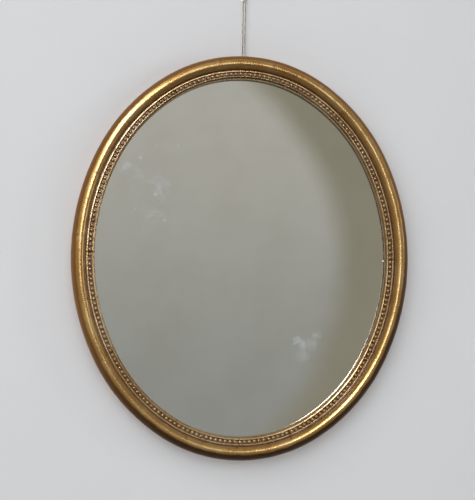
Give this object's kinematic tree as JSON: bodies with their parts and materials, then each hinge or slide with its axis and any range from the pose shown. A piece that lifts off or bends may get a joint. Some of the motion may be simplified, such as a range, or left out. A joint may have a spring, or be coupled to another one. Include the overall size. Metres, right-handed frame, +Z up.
{
  "type": "oval wall mirror",
  "caption": "Oval wall mirror in a gilded half-round moulding with a beaded sight edge, hung on a doubled wire from a screwed wall hook.",
  "frame": {"origin": "on the wall face, half way between the two screws of the wall hook that carries the mirror", "axes": "+X to the right seen from the front, +Y into the wall, +Z up; the glass faces -Y"},
  "size_m": [0.4198, 0.065, 0.623],
  "materials": {
    "frame_wood": "aged pine, dry and darkened on the back",
    "tongue_wood": "plain hardwood tongues",
    "gilding": "burnished gold leaf over red-brown bole on gesso, rubbed and toned",
    "slip_gilding": "gilded slip, dirt in the hollows",
    "bead_gilding": "gilded composition beads, worn on their tops",
    "glass": "clear plate glass with smudges",
    "silver": "aged silvering with a painted back",
    "card": "grey-brown packing card",
    "board_wood": "thin rough pine boards, stained with age",
    "brad_iron": "dark iron brads, a little rusty",
    "cork": "cut cork",
    "brass": "dull cast brass",
    "wire_steel": "grey stranded steel picture wire",
    "ferrule_metal": "crimped aluminium",
    "hook_brass": "lacquered brass",
    "screw_steel": "zinc plated steel"
  },
  "bodies": {
    "hook": {"wall_hook": "hook_brass", "hook_screws": "screw_steel"},
    "wire_loop": {"hanging_wire": "wire_steel", "upper_ferrule": "ferrule_metal", "lower_ferrule": "ferrule_metal"},
    "mirror": {"rail_top": "frame_wood", "rail_right": "frame_wood", "rail_bottom": "frame_wood", "rail_left": "frame_wood", "joint_tongues": "tongue_wood", "gilded_gesso": "gilding", "sight_slip_upper_right": "slip_gilding", "sight_slip_upper_left": "slip_gilding", "sight_slip_lower_left": "slip_gilding", "sight_slip_lower_right": "slip_gilding", "pearl_beads": "bead_gilding", "mirror_glass": "glass", "silvering": "silver", "packing_card": "card", "backboard_right": "board_wood", "backboard_left": "board_wood", "board_brads": "brad_iron", "cork_bumpers": "cork", "bumper_pins": "brass", "hanging_eye": "brass", "eye_screws": "brass"}
  },
  "joints": [
    {"name": "wire_swing", "type": "hinge", "parent": "hook", "child": "wire_loop", "pos_m": [0, -0.0058, 0], "axis": [0, 1, 0], "range_deg": [-15, 15]},
    {"name": "mirror_tilt", "type": "hinge", "parent": "wire_loop", "child": "mirror", "pos_m": [0, -0.0058, -0.1173], "axis": [-1, 0, 0], "range_deg": [0, 9]}
  ]
}
